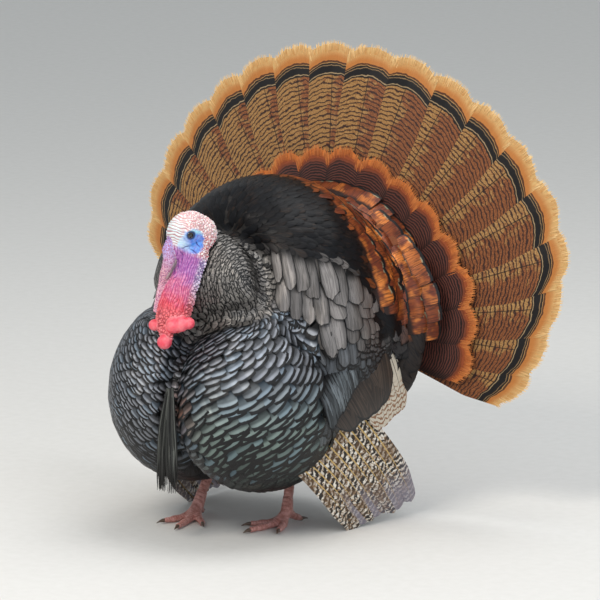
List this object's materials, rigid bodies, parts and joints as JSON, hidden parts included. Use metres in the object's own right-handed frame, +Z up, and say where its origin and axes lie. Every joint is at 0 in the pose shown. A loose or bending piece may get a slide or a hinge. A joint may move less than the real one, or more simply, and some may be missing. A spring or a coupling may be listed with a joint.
{
  "type": "wild turkey",
  "caption": "Life-size still model of a wild turkey tom strutting: tail fanned, feathers puffed out, wings drooped and head drawn back over the breast.",
  "frame": {"origin": "on the floor, under the middle of the bird's box", "axes": "+Z up; the bird faces -Y and its left side is +X"},
  "size_m": [0.8068, 0.4492, 0.695],
  "materials": {
    "bronze_feather": "satin grey-bronze contour feathers with black edges",
    "black_feather": "glossy black contour feathers",
    "rump_feather": "copper rump feathers banded with black",
    "tail_feather": "matt tan barred tail feathers with a black band and buff tip",
    "covert_feather": "matt maroon tail coverts with orange tips",
    "wing_feather": "matt brown and white barred primaries",
    "secondary_feather": "satin brown secondaries with pale edges",
    "head_skin": "bare warty skin, white crown and blue face",
    "throat_skin": "bare wrinkled skin, lavender to red",
    "caruncle_skin": "smooth taut red skin",
    "bill_horn": "pale horn",
    "eye": "wet dark brown",
    "leg_scale": "pink horny scales",
    "claw_horn": "dark horn",
    "beard_bristle": "coarse black bristles"
  },
  "bodies": {
    "root": {"back": "black_feather", "beard": "beard_bristle", "belly": "black_feather", "bill_lower": "bill_horn", "bill_upper": "bill_horn", "breast_left": "bronze_feather", "breast_right": "bronze_feather", "caruncle_left": "caruncle_skin", "caruncle_lower": "caruncle_skin", "caruncle_outer": "caruncle_skin", "caruncle_right": "caruncle_skin", "claw_left_hind": "claw_horn", "claw_left_inner": "claw_horn", "claw_left_middle": "claw_horn", "claw_left_outer": "claw_horn", "claw_right_hind": "claw_horn", "claw_right_inner": "claw_horn", "claw_right_middle": "claw_horn", "claw_right_outer": "claw_horn", "eye_left": "eye", "eye_right": "eye", "foot_left": "leg_scale", "foot_right": "leg_scale", "head": "head_skin", "neck": "bronze_feather", "rump": "rump_feather", "shank_left": "leg_scale", "shank_right": "leg_scale", "snood": "throat_skin", "spur_left": "claw_horn", "spur_right": "claw_horn", "tail_coverts": "covert_feather", "tail_fan": "tail_feather", "thigh_left": "black_feather", "thigh_right": "black_feather", "throat": "throat_skin", "wing_left_arm": "bronze_feather", "wing_left_primaries": "wing_feather", "wing_left_secondaries": "secondary_feather", "wing_right_arm": "bronze_feather", "wing_right_primaries": "wing_feather", "wing_right_secondaries": "secondary_feather"}
  },
  "joints": []
}
